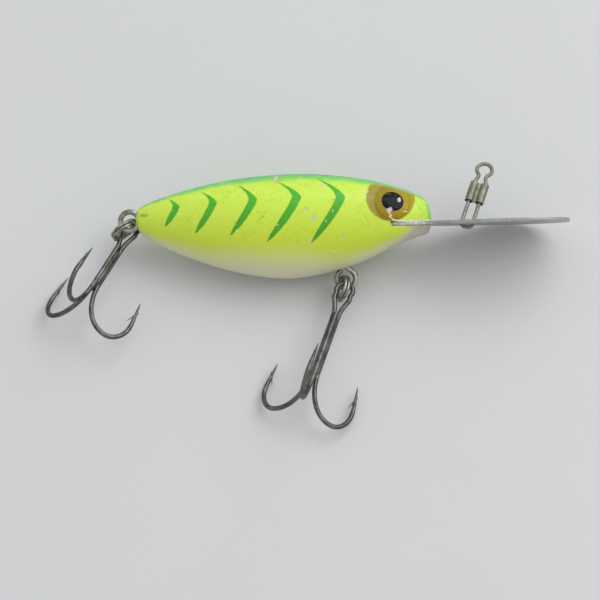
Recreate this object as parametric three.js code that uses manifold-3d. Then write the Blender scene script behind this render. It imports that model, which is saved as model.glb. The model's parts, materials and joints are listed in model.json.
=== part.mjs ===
// A diving crankbait: a hollow two-shell plastic body with a keel weight and knocking balls,
// a flat metal diving lip, a wire line link with a sliding sleeve, and two treble hooks on
// split rings. It lies on its side on a table, head towards +X, back towards +Y, +Z up.
// Lengths are millimetres.
//
// Lure axes (the group "lure"): x from the tail end to the nose, y from belly to back, with
// y = 0 in the plane of the lip, and z out of the right flank, with z = 0 at the seam.

import * as THREE from 'three';
import { mergeVertices } from 'three/addons/utils/BufferGeometryUtils.js';
import Module from 'manifold-3d';

const wasm = await Module();
wasm.setup();

const rad = THREE.MathUtils.degToRad;
const v3 = (x, y, z = 0) => new THREE.Vector3(x, y, z);

// ---------------------------------------------------------------- driving dimensions

const BODY_LENGTH = 76.2;
const SEAM_GAP = 0.3; // between the two shell halves
const GAP = 0.3; // around a piece that sits in a pocket of another
const WALL = 1.6;

// How the lure lies: rolled towards its belly, nose a little up on the edge of the lip.
const REST = { roll: rad(25), pitch: rad(1.6), yaw: rad(-0.75), height: 9.5 };

const LIP = {
  start: 66.05, length: 45.5, thickness: 0.9, halfWidth: 14.4, tangHalfWidth: 7, tangLength: 7.5,
  widest: 31, tipFullness: 8.5, rise: rad(1.45),
};
const LINK = {
  x: 85.3, wire: 0.5, legOffset: 1.4, lean: rad(-27), forward: rad(-18.5),
  legTop: 12.4, neckHeight: 13.9, neckOffset: 1, loopRadius: 1.95, loopHeight: 16.1,
  gapLow: 8.9, gapHigh: 9.6, hole: 1.2, bottomStart: -0.5, bottomDepth: 0.86,
};
const SLEEVE = { low: 6.2, length: 5.7, bore: 0.8, outer: 1.08, web: 0.5 };

const SCREW_EYE = { loopRadius: 2.4, wire: 0.69, shank: 13.0 };
const TAIL_EYE = v3(-1.5, 0.87);
const BELLY_EYE = v3(54.3, -13.9);

const RING = { radius: 3.2, strand: 0.36, coilOffset: 0.42, jog: rad(20) };

const HOOK = {
  wire: 0.62, eyeRadius: 2.15, eyeCentre: 2.83, shankOffset: 0.8, thirdOffset: 0.98, thirdStart: 10,
  bendStart: 11.0, bendWide: 8.62, spread: 13.3, pointDepth: 13.15, pointSpread: 12.35,
};
const BARB = { root: 10.4, rootSpread: 12.95, tip: 7.2, tipSpread: 11.75, radius: 0.41, tipRadius: 0.05 };

const BALL_RADIUS = 2.38; // 3/16 in shot
const CHAMBER = { bore: 2.8, outer: 3.8, y: 2, stations: { rear: 22, middle: 36, front: 50 } };
const BALLAST = { x: 38, y: -7.9, radius: 3.0, length: 16 };
const CAVITY = { from: 14, to: 63.5 };
const PEG = { radius: 1, length: 2, hole: 1.3, holeDepth: 2.4, boss: 2.3 };
const PEGS = [[29, 7.6], [43, 8], [60.5, 0]];
const EYE_BOSS = { radius: 2.6, length: 13, middle: -6, webHalf: 0.6, webTop: -4 };
const RIB = { half: 0.6, top: -6.5, clearance: 0.7, shares: [0, 0.3, 0.7, 1] };
const BEYOND = 15; // past the flank or the belly on either side, for tools that cut right through

// ---------------------------------------------------------------- materials

const paint = (color, roughness, metalness = 0) =>
  new THREE.MeshStandardMaterial({ color, roughness, metalness });
const FINISH = {
  shell: paint(0xcfe850, 0.3),
  lip: paint(0x9a9a96, 0.5, 0.8),
  link: paint(0xa2a492, 0.35, 0.9),
  nickel: paint(0xb4b2aa, 0.3, 1),
  hook: paint(0x5f5f58, 0.35, 1),
  lead: paint(0x6d6f73, 0.7, 0.6),
  steel: paint(0xbfc2c4, 0.2, 1),
};

// ---------------------------------------------------------------- solids

function toSolid(geometry) {
  const bare = geometry.clone();
  for (const name of ['normal', 'uv']) bare.deleteAttribute(name);
  const merged = mergeVertices(bare, 1e-4);
  const triangles = [];
  for (let i = 0; i < merged.index.count; i += 3) {
    const [a, b, c] = merged.index.array.slice(i, i + 3);
    if (a !== b && b !== c && c !== a) triangles.push(a, b, c);
  }
  return new wasm.Manifold(new wasm.Mesh({
    numProp: 3,
    vertProperties: new Float32Array(merged.attributes.position.array),
    triVerts: new Uint32Array(triangles),
  }));
}

function toGeometry(solid) {
  const mesh = solid.getMesh();
  const geometry = new THREE.BufferGeometry();
  geometry.setAttribute('position', new THREE.BufferAttribute(new Float32Array(mesh.vertProperties), 3));
  geometry.setIndex(new THREE.BufferAttribute(new Uint32Array(mesh.triVerts), 1));
  geometry.computeVertexNormals();
  return geometry;
}

function addMesh(parent, name, geometry, material) {
  const mesh = new THREE.Mesh(geometry, material);
  mesh.name = name;
  parent.add(mesh);
  return mesh;
}

// A closed skin over rings of equal point count, with a fan at each end.
function skin(rings) {
  const sides = rings[0].length;
  const positions = rings.flat().flatMap((p) => [p.x, p.y, p.z]);
  const indices = [];
  for (let i = 0; i < rings.length - 1; i++) {
    for (let j = 0; j < sides; j++) {
      const a = i * sides + j;
      const b = i * sides + ((j + 1) % sides);
      indices.push(a, b, a + sides, b, b + sides, a + sides);
    }
  }
  const ends = [[rings[0], 0, false], [rings.at(-1), (rings.length - 1) * sides, true]];
  for (const [ring, first, flip] of ends) {
    const centre = positions.length / 3;
    const middle = ring.reduce((sum, p) => sum.add(p), v3(0, 0, 0)).divideScalar(sides);
    positions.push(middle.x, middle.y, middle.z);
    for (let j = 0; j < sides; j++) {
      const a = first + j;
      const b = first + ((j + 1) % sides);
      indices.push(...(flip ? [centre, a, b] : [centre, b, a]));
    }
  }
  const geometry = new THREE.BufferGeometry();
  geometry.setAttribute('position', new THREE.Float32BufferAttribute(positions, 3));
  geometry.setIndex(indices);
  geometry.computeVertexNormals();
  return geometry;
}

// A closed wire through the points; radiusAt gives the radius at a fraction of its points.
function wire(points, radiusAt, sides = 8) {
  const tangents = points.map((_, i) =>
    points[Math.min(i + 1, points.length - 1)].clone().sub(points[Math.max(i - 1, 0)]).normalize());
  const start = Math.abs(tangents[0].z) < 0.9 ? v3(0, 0, 1) : v3(1, 0, 0);
  let normal = start.cross(tangents[0]).normalize();
  const rings = points.map((point, i) => {
    const turn = i ? new THREE.Quaternion().setFromUnitVectors(tangents[i - 1], tangents[i]) : null;
    if (turn) normal = normal.clone().applyQuaternion(turn);
    const binormal = tangents[i].clone().cross(normal);
    const radius = radiusAt(i / (points.length - 1));
    return Array.from({ length: sides }, (_, j) => {
      const angle = (2 * Math.PI * j) / sides;
      return point.clone()
        .addScaledVector(normal, radius * Math.cos(angle))
        .addScaledVector(binormal, radius * Math.sin(angle));
    });
  });
  return skin(rings);
}

function arc(centre, radiusX, radiusY, from, to, steps) {
  return Array.from({ length: steps + 1 }, (_, i) => {
    const angle = from + ((to - from) * i) / steps;
    return v3(centre.x + radiusX * Math.cos(angle), centre.y + radiusY * Math.sin(angle), centre.z);
  });
}

const smooth = (points, steps) =>
  new THREE.CatmullRomCurve3(points, false, 'centripetal').getPoints(steps);

function bar(x0, x1, y0, y1, z0, z1) {
  const box = new THREE.BoxGeometry(x1 - x0, y1 - y0, z1 - z0);
  return toSolid(box.translate((x0 + x1) / 2, (y0 + y1) / 2, (z0 + z1) / 2));
}

// A round bar with its middle at (x, y, z); three's cylinder runs along y until it is turned.
function rod(radius, length, axis, x, y, z, sides = 18) {
  const geometry = new THREE.CylinderGeometry(radius, radius, length, sides);
  if (axis === 'x') geometry.rotateZ(Math.PI / 2);
  if (axis === 'z') geometry.rotateX(Math.PI / 2);
  return toSolid(geometry.translate(x, y, z));
}

// ---------------------------------------------------------------- body shells

// A smooth height over x through a few points.
function profile(points) {
  const slope = points.map((_, i) => {
    const a = points[Math.max(i - 1, 0)];
    const b = points[Math.min(i + 1, points.length - 1)];
    return (b[1] - a[1]) / (b[0] - a[0]);
  });
  return (x) => {
    let i = 0;
    while (i < points.length - 2 && x > points[i + 1][0]) i++;
    const [[x0, y0], [x1, y1]] = [points[i], points[i + 1]];
    const span = x1 - x0;
    const t = THREE.MathUtils.clamp((x - x0) / span, 0, 1);
    const [t2, t3] = [t * t, t * t * t];
    return (2 * t3 - 3 * t2 + 1) * y0 + (t3 - 2 * t2 + t) * span * slope[i]
      + (3 * t2 - 2 * t3) * y1 + (t3 - t2) * span * slope[i + 1];
  };
}

const backHeight = profile([[0, 2.8], [1.3, 4.4], [6.4, 6.7], [16.7, 9.8], [27, 11.8], [42.4, 13],
  [57.8, 11.8], [68.1, 9.4], [73.2, 7.2], [75.4, 5.3], [BODY_LENGTH, 3]]);
const bellyHeight = profile([[0, -0.3], [1.8, -2.75], [6.4, -5.5], [16.7, -9.6], [27, -12.5],
  [38, -13.9], [47.5, -12.9], [57, -10.15], [68.4, -4.75], [74.3, -2.7], [BODY_LENGTH, -1.6]]);
const halfThickness = profile([[0, 1.5], [1.8, 2.6], [6.4, 4.5], [16.7, 7.6], [29, 9.8], [42, 10.3],
  [54, 9.8], [64, 8.5], [70.5, 6.6], [74.5, 4.6], [BODY_LENGTH, 2.6]]);

const EYE_BULGE = { x: 66.1, y: 5.6, radius: 6, height: 0.7 };
const SECTION_POWER = 2 / 2.2; // a little fuller than an ellipse

function section(x, inset, sides) {
  const top = backHeight(x) - inset;
  const bottom = bellyHeight(x) + inset;
  const middle = (top + bottom) / 2;
  const round = (value) => Math.sign(value) * Math.abs(value) ** SECTION_POWER;
  return Array.from({ length: sides }, (_, j) => {
    const angle = (-2 * Math.PI * j) / sides;
    const y = middle + ((top - bottom) / 2) * round(Math.sin(angle));
    const side = round(Math.cos(angle));
    const reach = Math.hypot(x - EYE_BULGE.x, y - EYE_BULGE.y) / EYE_BULGE.radius;
    const bulge = inset || reach > 1 ? 0 : EYE_BULGE.height * (1 - reach ** 2) ** 2;
    return v3(x, y, side * (halfThickness(x) - inset) + Math.sign(side) * bulge);
  });
}

// Stations lie closer together towards both ends of the run.
function loft(from, to, inset, steps, sides) {
  const middle = (from + to) / 2;
  const half = (to - from) / 2;
  const stations = Array.from({ length: steps + 1 },
    (_, i) => middle - half * Math.cos((Math.PI * i) / steps));
  return toSolid(skin(stations.map((x) => section(x, inset, sides))));
}

function shellHalves() {
  const outer = loft(0, BODY_LENGTH, 0, 28, 28);
  const hollow = loft(CAVITY.from, CAVITY.to, WALL, 12, 20);
  const bellyBore = { length: SCREW_EYE.shank + GAP, radius: SCREW_EYE.wire + GAP };

  // What stands in the hollow: chamber tubes, peg bosses, the screw-eye boss and cradle ribs.
  const wide = 2 * BEYOND;
  const chamberX = Object.values(CHAMBER.stations);
  const tubes = chamberX.map((x) => rod(CHAMBER.outer, wide, 'z', x, CHAMBER.y, 0));
  const bosses = PEGS.map(([x, y]) => rod(PEG.boss, wide, 'z', x, y, 0, 12));
  const eyeBoss = [
    rod(EYE_BOSS.radius, EYE_BOSS.length, 'y', BELLY_EYE.x, EYE_BOSS.middle, 0, 16),
    bar(BELLY_EYE.x - EYE_BOSS.webHalf, BELLY_EYE.x + EYE_BOSS.webHalf, -BEYOND, EYE_BOSS.webTop,
      -BEYOND, BEYOND),
  ];
  const slug = rod(BALLAST.radius + GAP, BALLAST.length + 2 * GAP, 'x', BALLAST.x, BALLAST.y, 0);
  const ribRun = BALLAST.length + 2 * (GAP + RIB.clearance);
  const ribs = RIB.shares.map((share) => {
    const x = BALLAST.x + (share - 0.5) * ribRun;
    return bar(x - RIB.half, x + RIB.half, -BEYOND, RIB.top, -BEYOND, BEYOND).subtract(slug);
  });
  const furniture = wasm.Manifold.union([...tubes, ...bosses, ...eyeBoss, ...ribs]);

  const chambers = chamberX.map((x) => rod(CHAMBER.bore, wide, 'z', x, CHAMBER.y, 0)
    .intersect(hollow));
  const slotHalf = LIP.thickness / 2 + GAP;
  const slot = bar(0, LIP.length, -slotHalf, slotHalf, -BEYOND, BEYOND)
    .rotate([0, 0, THREE.MathUtils.radToDeg(LIP.rise)]).translate([LIP.start - 2 * GAP, 0, 0]);
  const bores = [
    rod(bellyBore.radius, bellyBore.length, 'y', BELLY_EYE.x, BELLY_EYE.y + bellyBore.length / 2, 0, 16),
    rod(bellyBore.radius, bellyBore.length, 'x', TAIL_EYE.x + bellyBore.length / 2, TAIL_EYE.y, 0, 16),
  ];
  const pockets = [BELLY_EYE, TAIL_EYE].map((eye) =>
    rod(SCREW_EYE.loopRadius + SCREW_EYE.wire + 2 * GAP, 2 * (SCREW_EYE.wire + GAP), 'z',
      eye.x, eye.y, 0));

  const body = outer.subtract(hollow.subtract(furniture))
    .subtract(wasm.Manifold.union([...chambers, slot, ...bores, ...pockets]));
  const face = SEAM_GAP / 2;
  const root = 1; // how far a peg runs back into its boss
  const pegs = (radius, reach) => wasm.Manifold.union(
    PEGS.map(([x, y]) => rod(radius, reach + root, 'z', x, y, (reach - root) / 2, 16)));
  const side = (from, to) => bar(-BODY_LENGTH, 2 * BODY_LENGTH, -wide, wide, from, to);
  return {
    right: body.intersect(side(face, wide)).subtract(pegs(PEG.hole, PEG.holeDepth)),
    left: body.intersect(side(-wide, -face)).add(pegs(PEG.radius, PEG.length)),
  };
}

// ---------------------------------------------------------------- lip and line link

// Plan of the lip: x from the tang's rear end, y across. A paddle with a narrow tang.
function lipPlan() {
  const { length, halfWidth, tangHalfWidth, tangLength, widest, tipFullness } = LIP;
  const shoulder = [[tangLength, tangHalfWidth], [13, tangHalfWidth + 0.6], [20, halfWidth],
    [widest, halfWidth]];
  const tip = [[widest, halfWidth], [41, halfWidth], [length, tipFullness], [length, 0]];
  const halfEdge = [shoulder, tip].flatMap((points, i) => {
    const corners = points.map(([x, y]) => v3(x, y));
    return new THREE.CubicBezierCurve3(...corners).getPoints(10).slice(i);
  });
  const farEdge = halfEdge.slice(0, -1).reverse().map(({ x, y }) => v3(x, -y));
  const outline = [v3(0, tangHalfWidth), ...halfEdge, ...farEdge, v3(0, -tangHalfWidth)];
  const plan = new THREE.Shape(outline.map(({ x, y }) => new THREE.Vector2(x, y)));
  const spacing = LINK.legOffset / Math.cos(LINK.forward);
  for (const side of [-1, 1]) {
    const hole = new THREE.Path();
    hole.absarc(LINK.x - LIP.start + side * spacing, 0, LINK.hole, 0, 2 * Math.PI, false);
    plan.holes.push(hole);
  }
  return plan;
}

function lip() {
  const geometry = new THREE.ExtrudeGeometry(lipPlan(),
    { depth: LIP.thickness, bevelEnabled: false, curveSegments: 10 });
  return toGeometry(toSolid(geometry.rotateX(Math.PI / 2).translate(0, LIP.thickness / 2, 0)));
}

// One wire: its ends meet inside the left barrel of the sleeve. It goes down the left leg,
// under the lip, up the right leg and back over the loop.
function linkWire() {
  const { legOffset, legTop, neckHeight, neckOffset, loopRadius, loopHeight, gapLow, gapHigh } = LINK;
  const throat = [v3(legOffset, legTop), v3(1.2, 13.1), v3(neckOffset, neckHeight), v3(1.15, 14.6)];
  const otherSide = throat.map(({ x, y }) => v3(-x, y)).reverse();
  const loop = arc(v3(0, loopHeight, 0), loopRadius, loopRadius, rad(-20), rad(200), 8);
  const upper = smooth([...throat, ...loop, ...otherSide], 36);
  const path = [
    v3(-legOffset, gapLow),
    ...arc(v3(0, LINK.bottomStart, 0), legOffset, LINK.bottomDepth, Math.PI, 2 * Math.PI, 10),
    ...upper,
    v3(-legOffset, gapHigh),
  ];
  return wire(path, () => LINK.wire, 7);
}

// Two barrels side by side, joined by a thin web; the legs run through the bores.
function linkSleeve() {
  const middle = SLEEVE.low + SLEEVE.length / 2;
  const barrels = [-1, 1].map((side) =>
    rod(SLEEVE.outer, SLEEVE.length, 'y', side * LINK.legOffset, middle, 0, 20));
  const bores = [-1, 1].map((side) =>
    rod(SLEEVE.bore, SLEEVE.length + 2, 'y', side * LINK.legOffset, middle, 0, 16));
  const web = bar(-LINK.legOffset, LINK.legOffset, SLEEVE.low, SLEEVE.low + SLEEVE.length,
    -SLEEVE.web / 2, SLEEVE.web / 2);
  return toGeometry(wasm.Manifold.union([...barrels, web]).subtract(wasm.Manifold.union(bores)));
}

// ---------------------------------------------------------------- screw eyes and rings

// The loop lies in the xy plane round the origin, and the shank runs along +y.
function screwEye() {
  const { loopRadius, shank } = SCREW_EYE;
  const loop = arc(v3(0, 0, 0), loopRadius, loopRadius, rad(-238), rad(48), 22);
  const neck = smooth([loop.at(-1), v3(0.5, 2.75), v3(0, 3.5), v3(0, 4.6)], 6).slice(1);
  const path = [...loop, ...neck, v3(0, shank - 2), v3(0, shank - 0.4)];
  return wire(path, (t) => (t < 0.999 ? SCREW_EYE.wire : 0.25), 8);
}

// Two flat coils round z with one sloping strand between them, where both ends stop short.
function splitRing() {
  const { radius, strand, coilOffset, jog } = RING;
  const steps = 50;
  const path = Array.from({ length: steps + 1 }, (_, i) => {
    const angle = jog + ((4 * Math.PI - 2 * jog) * i) / steps;
    const across = THREE.MathUtils.clamp((angle - 2 * Math.PI) / jog, -1, 1);
    const climb = coilOffset * Math.sin((across * Math.PI) / 2);
    return v3(radius * Math.cos(angle), radius * Math.sin(angle), climb);
  });
  return wire(path, () => strand, 6);
}

// ---------------------------------------------------------------- treble hooks

// Hook axes: x from the eye to the bend, z up, so the third tine stands up and the pair
// spreads to both sides below it. Angles are round x.
const THIRD = Math.PI / 2;
const PAIR = [rad(-30), rad(210)];
const TINE_STEPS = [8, 6, 9];
const WIRE_SIDES = 7;

// One tine from the point to its shank, in the plane at the given angle round x: the point
// leans in a little, the bend is round, and the wire closes on the shank.
function tinePath(angle, offset, length) {
  const { wire: half, bendStart, bendWide, spread, pointDepth: deep, pointSpread } = HOOK;
  const at = ([depth, out]) =>
    v3(length - half - depth, out * Math.cos(angle), out * Math.sin(angle));
  const widest = [0.42 * deep, spread];
  const curves = [
    [[deep, pointSpread], [0.85 * deep, 0.8 * pointSpread + 0.2 * spread], [0.6 * deep, spread],
      widest],
    [widest, [0.2 * deep, spread], [0, 0.45 * bendWide + 0.55 * spread], [0, bendWide]],
    [[0, bendWide], [0, 0.45 * bendWide], [0.45 * bendStart, offset], [bendStart, offset]],
  ];
  return curves.flatMap((corners, i) =>
    new THREE.CubicBezierCurve3(...corners.map(at)).getPoints(TINE_STEPS[i]).slice(i ? 1 : 0));
}

// The point tapers over the wire's first curve, given as a share of its points.
const taper = (share) => (t) => HOOK.wire * Math.min(1, 0.16 + 0.84 * Math.sqrt(t / share));

function barb(angle, length) {
  const root = v3(length - BARB.root, BARB.rootSpread);
  const tip = v3(length - BARB.tip, BARB.tipSpread);
  const cone = wire([root, tip], (t) => BARB.radius * (1 - t) + BARB.tipRadius * t, 6);
  return toSolid(cone.rotateX(angle));
}

function hookPair(length) {
  const { eyeRadius, eyeCentre, shankOffset } = HOOK;
  const side = shankOffset * Math.cos(PAIR[0]);
  const low = shankOffset * Math.sin(PAIR[0]);
  // one leg between the shank and the eye; the other mirrors it
  const leg = [v3(11, side, low), v3(9, side + 0.05, low), v3(7, 1.3, 0.5 * low), v3(5, 1.98)];
  const otherLeg = leg.map(({ x, y, z }) => v3(x, -y, z)).reverse();
  const loop = arc(v3(eyeCentre, 0), eyeRadius, eyeRadius, rad(60), rad(300), 10);
  const eye = smooth([...leg, ...loop, ...otherLeg], 40);
  const [first, last] = PAIR.map((angle) => tinePath(angle, shankOffset, length));
  const path = [...first, ...eye, ...last.reverse()];
  const share = TINE_STEPS[0] / (path.length - 1);
  const body = wire(path, (t) => taper(share)(Math.min(t, 1 - t)), WIRE_SIDES);
  const barbs = PAIR.map((angle) => barb(angle, length));
  return toGeometry(wasm.Manifold.union([toSolid(body), ...barbs]));
}

function hookThird(length) {
  const { thirdOffset, thirdStart } = HOOK;
  const path = [...tinePath(THIRD, thirdOffset, length), v3(thirdStart, 0, thirdOffset)];
  const share = TINE_STEPS[0] / (path.length - 1);
  const body = toSolid(wire(path, taper(share), WIRE_SIDES));
  return toGeometry(wasm.Manifold.union([body, barb(THIRD, length)]));
}

// ---------------------------------------------------------------- assembly

const crankbait = new THREE.Group();
const table = new THREE.Group(); // everything as it lies, before it is centred
crankbait.add(table);

const lure = new THREE.Group();
lure.rotation.set(REST.roll, -REST.pitch, REST.yaw, 'ZYX');
lure.position.z = REST.height;
table.add(lure);

const halves = shellHalves();
addMesh(lure, 'body_right_half', toGeometry(halves.right), FINISH.shell);
addMesh(lure, 'body_left_half', toGeometry(halves.left), FINISH.shell);

const lipGroup = new THREE.Group();
lipGroup.position.x = LIP.start;
lipGroup.rotation.z = LIP.rise;
lure.add(lipGroup);
addMesh(lipGroup, 'diving_lip', lip(), FINISH.lip);

const link = new THREE.Group();
link.position.x = LINK.x - LIP.start;
link.rotation.set(LINK.lean, 0, LINK.forward, 'XYZ');
lipGroup.add(link);
addMesh(link, 'snap_wire', linkWire(), FINISH.link);
addMesh(link, 'snap_sleeve', linkSleeve(), FINISH.link);

// Screw eye and split ring at each end. The ring's plane stands nearly square to the seam
// plane and contains the ring direction; tilt leans it out of square.
const STATIONS = {
  belly: {
    eye: BELLY_EYE, shankTurn: 0,
    ring: v3(53.19, -16.52, 0.97), ringTurn: rad(70), ringTilt: rad(19.3),
    hookEye: v3(54.65, -14.6, 5.97), yaw: rad(-108.1), pitch: rad(2.8), roll: rad(0.6),
    length: 38.7,
  },
  tail: {
    eye: TAIL_EYE, shankTurn: rad(-90),
    ring: v3(-3.16, -1.48, -1.56), ringTurn: rad(35.9), ringTilt: rad(-15.5),
    hookEye: v3(0.19, 3.29, 6.07), yaw: rad(-116.4), pitch: rad(7.4), roll: rad(9.3),
    length: 33.6,
  },
};

for (const [name, at] of Object.entries(STATIONS)) {
  const eye = addMesh(lure, `${name}_screw_eye`, screwEye(), FINISH.nickel);
  eye.position.copy(at.eye);
  eye.rotation.z = at.shankTurn;

  const ring = new THREE.Group();
  ring.position.copy(at.ring);
  ring.rotation.set(-Math.PI / 2 + at.ringTilt, 0, at.ringTurn, 'ZYX');
  lure.add(ring);
  addMesh(ring, `${name}_split_ring`, splitRing(), FINISH.nickel);

  const hook = new THREE.Group();
  hook.position.copy(at.hookEye);
  hook.rotation.set(at.roll, -at.pitch, at.yaw, 'ZYX');
  table.add(hook);
  addMesh(hook, `${name}_hook_pair`, hookPair(at.length), FINISH.hook);
  addMesh(hook, `${name}_hook_single`, hookThird(at.length), FINISH.hook);
}

addMesh(lure, 'ballast_weight', toGeometry(
  rod(BALLAST.radius, BALLAST.length, 'x', BALLAST.x, BALLAST.y, 0, 20)), FINISH.lead);

// Each ball lies at the lower end of its chamber, against the left flank.
for (const [name, x] of Object.entries(CHAMBER.stations)) {
  const ball = addMesh(lure, `rattle_ball_${name}`,
    toGeometry(toSolid(new THREE.SphereGeometry(BALL_RADIUS, 14, 10))), FINISH.steel);
  ball.position.set(x, CHAMBER.y, -(halfThickness(x) - WALL - BALL_RADIUS - 2 * GAP));
}

// The origin is on the table, at the middle of the outline.
const bounds = new THREE.Box3().setFromObject(table, true);
const centre = bounds.getCenter(v3(0, 0, 0));
table.position.set(-centre.x, -centre.y, -bounds.min.z);

export default crankbait;
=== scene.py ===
"""Looks for the diving crankbait: painted shells, metal lip, line link, split rings and trebles.

Shapes are in millimetres in the lure's own axes (x from tail to nose, y from belly to back,
z out of the right flank) or in a hook's, ring's or link's own axes, as in the CAD part.
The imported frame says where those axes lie.
"""

import json
import math
from functools import reduce

import bmesh
import bpy
import numpy as np
from mathutils import Matrix, Vector


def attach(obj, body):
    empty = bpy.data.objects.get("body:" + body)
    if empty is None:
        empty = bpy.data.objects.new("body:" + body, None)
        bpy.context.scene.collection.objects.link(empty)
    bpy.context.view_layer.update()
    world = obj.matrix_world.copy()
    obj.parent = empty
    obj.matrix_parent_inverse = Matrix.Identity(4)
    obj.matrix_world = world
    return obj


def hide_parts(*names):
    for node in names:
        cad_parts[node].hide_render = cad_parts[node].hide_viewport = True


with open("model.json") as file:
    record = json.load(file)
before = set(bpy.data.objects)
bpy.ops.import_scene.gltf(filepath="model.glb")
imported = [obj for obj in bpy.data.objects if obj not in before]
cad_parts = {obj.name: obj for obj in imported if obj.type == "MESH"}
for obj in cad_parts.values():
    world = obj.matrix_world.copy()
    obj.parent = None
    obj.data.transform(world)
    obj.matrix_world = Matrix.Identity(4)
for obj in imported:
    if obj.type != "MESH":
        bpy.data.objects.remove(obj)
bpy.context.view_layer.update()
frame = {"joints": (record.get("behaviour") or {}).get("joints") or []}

scene = bpy.context.scene
rad = math.radians
MM = 0.001

# -------- sizes shared with the part

BODY_LENGTH = 76.2
SEAM_HALF_GAP = 0.02
WALL = 1.6
REST = {"roll": rad(25), "pitch": rad(1.6), "yaw": rad(-0.75), "height": 9.5}
LIP = {"start": 66.05, "length": 45.5, "thickness": 0.9, "rise": rad(1.45), "edge": 0.2,
       "tang": 7.0, "tang_length": 7.5, "half_width": 14.4, "widest": 31, "tip": 8.5}
LINK = {"x": 85.3, "wire": 0.5, "leg": 1.4, "lean": rad(-27), "forward": rad(-18.5), "hole": 1.2,
        "leg_top": 12.4, "neck": 1.0, "neck_height": 13.9, "loop": 1.95, "loop_height": 16.1,
        "gap_low": 8.9, "gap_high": 9.6, "bottom": -0.5, "bottom_depth": 0.86}
SLEEVE = {"low": 6.2, "length": 5.7, "bore": 0.8, "outer": 1.08, "web": 0.5, "edge": 0.09}
EYE_WIRE = 0.69
EYE_LOOP = 2.4
EYE_SHANK = 12.6
TAIL_EYE = (-1.5, 0.87, 0)
BELLY_EYE = (54.3, -13.9, 0)
RING = {"radius": 3.2, "offset": 0.42, "jog": rad(20), "width": 0.78, "height": 0.74, "squareness": 0.62}
HOOK = {"wire": 0.62, "eye": 2.15, "eye_centre": 2.83, "shank": 0.8, "third": 0.95, "third_start": 10,
        "bend_start": 11, "bend_wide": 8.62, "spread": 13.3, "point_depth": 13.15, "point_spread": 12.35}
BALL_RADIUS = 2.38
CHAMBER = {"bore": 2.8, "outer": 3.8, "y": 2, "stations": {"rear": 22, "middle": 36, "front": 50}}
BALLAST = {"x": 38, "y": -7.9, "radius": 3.0, "length": 16}
CAVITY = (14, 63.5)
PEGS = [(29, 7.6), (43, 8), (60.5, 0)]
PEG = {"radius": 1.0, "length": 2.0, "hole": 1.15, "hole_depth": 2.3, "boss": 2.3}
EYE_BOSS = {"radius": 2.6, "low": -14, "high": 0.5}
RIB = {"half": 0.6, "low": -15, "top": -6.5, "past_weight": 0.7, "count": 4}

# Where each split ring and each treble's eye lies, with their turns in degrees. The rings are
# placed in the lure's axes, and the hooks in the table's, since they lie on it.
RING_STATIONS = {
    "belly": {"place": (53.19, -16.52, 0.97), "turn": 70, "tilt": 19.3},
    "tail": {"place": (-3.16, -1.48, -1.56), "turn": 35.9, "tilt": -15.5},
}
HOOK_STATIONS = {
    "belly": {"place": (54.65, -14.6, 5.97), "yaw": -108.1, "pitch": 2.8, "roll": 0.6, "length": 38.7},
    "tail": {"place": (0.19, 3.29, 6.07), "yaw": -116.4, "pitch": 7.4, "roll": 9.3, "length": 33.6},
}

# The body's outline and half thickness over x.
BACK = [(0, 2.8), (1.3, 4.4), (6.4, 6.7), (16.7, 9.8), (27, 11.8), (42.4, 13), (57.8, 11.8), (68.1, 9.4),
        (73.2, 7.2), (75.4, 5.3), (BODY_LENGTH, 3)]
BELLY = [(0, -0.3), (1.8, -2.75), (6.4, -5.5), (16.7, -9.6), (27, -12.5), (38, -13.9), (47.5, -12.9),
         (57, -10.15), (68.4, -4.75), (74.3, -2.7), (BODY_LENGTH, -1.6)]
THICKNESS = [(0, 1.5), (1.8, 2.6), (6.4, 4.5), (16.7, 7.6), (29, 9.8), (42, 10.3), (54, 9.8), (64, 8.5),
             (70.5, 6.6), (74.5, 4.6), (BODY_LENGTH, 2.6)]
FULLNESS = 2.2  # power of the body's section, 2 being an ellipse

# -------- where the axes lie


def move(x, y, z):
    return Matrix.Translation(Vector((x, y, z)) * MM)


def turn(axis, angle):
    return Matrix.Rotation(angle, 4, axis)


def lure_axes():
    """The lure's axes and the table's, in the row frame: the tail ring's pivot fixes both."""
    pivot = next(j["pos_m"] for j in frame["joints"] if j["name"] == "tail_ring_swing")
    rotation = turn("Z", REST["yaw"]) @ turn("Y", -REST["pitch"]) @ turn("X", REST["roll"])
    origin = Vector(pivot) - rotation.to_3x3() @ (Vector(TAIL_EYE) * MM)
    lure = Matrix.Translation(origin) @ rotation
    table = Matrix.Translation(origin) @ move(0, 0, -REST["height"])
    return lure, table


def ring_axes(name):
    station = RING_STATIONS[name]
    flat = turn("X", rad(station["tilt"] - 90))
    return LURE @ move(*station["place"]) @ turn("Z", rad(station["turn"])) @ flat


def hook_axes(name):
    station = HOOK_STATIONS[name]
    yaw, pitch, roll = (rad(station[angle]) for angle in ("yaw", "pitch", "roll"))
    return TABLE @ move(*station["place"]) @ turn("Z", yaw) @ turn("Y", -pitch) @ turn("X", roll)


LURE, TABLE = lure_axes()
LIP_AXES = LURE @ move(LIP["start"], 0, 0) @ turn("Z", LIP["rise"])
LINK_TURN = turn("X", LINK["lean"]) @ turn("Z", LINK["forward"])
LINK_AXES = LIP_AXES @ move(LINK["x"] - LIP["start"], 0, 0) @ LINK_TURN

# -------- curves


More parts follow.
